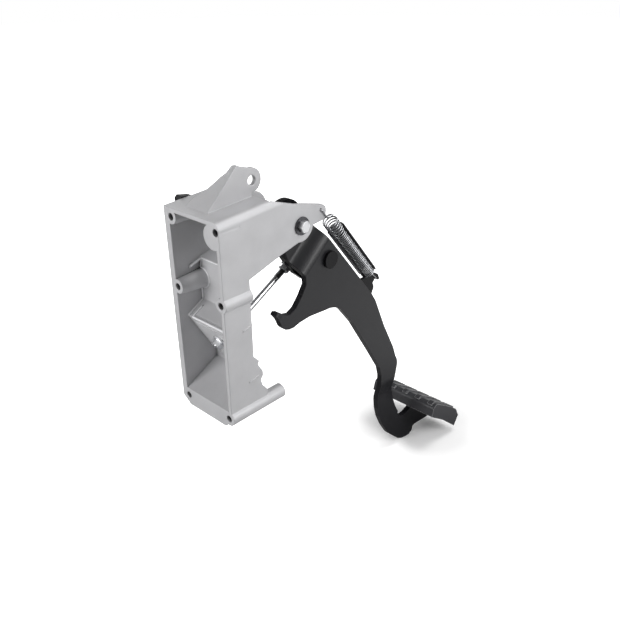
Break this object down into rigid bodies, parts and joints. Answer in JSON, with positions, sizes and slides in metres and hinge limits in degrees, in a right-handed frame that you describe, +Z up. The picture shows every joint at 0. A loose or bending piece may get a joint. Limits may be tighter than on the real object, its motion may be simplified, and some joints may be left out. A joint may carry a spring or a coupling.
{
  "type": "clutch pedal assembly",
  "caption": "Cast light-alloy bracket carrying a black steel clutch pedal on a cross bolt, with a coil return spring, a push rod through its inclined cylinder wall and a lug on its roof",
  "frame": {"origin": "centre of the four corner fixing holes, on the fixing face of the flange", "axes": "+X points from the fixing face to the driver, +Y to the far side along the pedal's pivot, +Z up"},
  "size_m": [0.4495, 0.161, 0.5269],
  "materials": {
    "cast_alloy": "blasted casting",
    "zinc": "zinc plated",
    "pedal_paint": "satin black",
    "black_steel": "satin black",
    "rod_steel": "bright turned",
    "spring_steel": "drawn wire",
    "black_plastic": "moulded",
    "bush_plastic": "moulded"
  },
  "bodies": {
    "bracket": {"bracket_casting": "cast_alloy", "pivot_bolt": "zinc", "near_washer": "zinc", "far_washer": "zinc", "pivot_nut": "zinc", "pivot_sleeve": "rod_steel", "switch_block": "black_plastic", "switch_screws": "zinc"},
    "pedal": {"pedal_arm": "pedal_paint", "hub_tube": "black_steel", "near_bush": "bush_plastic", "far_bush": "bush_plastic", "inner_lever": "black_steel", "cross_stud": "black_steel", "stud_clip": "black_steel", "spring_hook": "black_steel", "pedal_pad": "pedal_paint"},
    "rod": {"rod_fork": "black_steel", "rod_lock_nut": "zinc", "push_rod": "rod_steel", "stop_washer": "zinc", "stop_nut": "zinc"},
    "spring": {"return_spring": "spring_steel"},
    "sleeve": {"spring_sleeve": "black_plastic"}
  },
  "joints": [
    {"name": "pedal_pivot", "type": "hinge", "parent": "bracket", "child": "pedal", "pos_m": [0.126, 0, 0.095], "axis": [0, 1, 0], "range_deg": [0, 21.4], "stiffness_Nm_per_rad": 8, "springref_deg": -34.38},
    {"name": "rod_pivot", "type": "hinge", "parent": "pedal", "child": "rod", "pos_m": [0.1696, 0, 0.0401], "axis": [0, 1, 0], "range_deg": [-22, 0]},
    {"name": "spring_swing", "type": "hinge", "parent": "bracket", "child": "spring", "pos_m": [0.1597, -0.0457, 0.1062], "axis": [0, 1, 0], "range_deg": [0, 22.4]},
    {"name": "spring_stretch", "type": "slide", "parent": "spring", "child": "sleeve", "axis": [0.6374, 0, -0.7705], "range_m": [0, 0.0128], "deforming": ["return_spring"]}
  ],
  "couplings": [
    {"joint": "rod_pivot", "follows": "pedal_pivot", "ratio": -1},
    {"joint": "spring_swing", "follows": "pedal_pivot", "ratio": 1.04},
    {"joint": "spring_stretch", "follows": "pedal_pivot", "m_per_rad": 0.034}
  ]
}
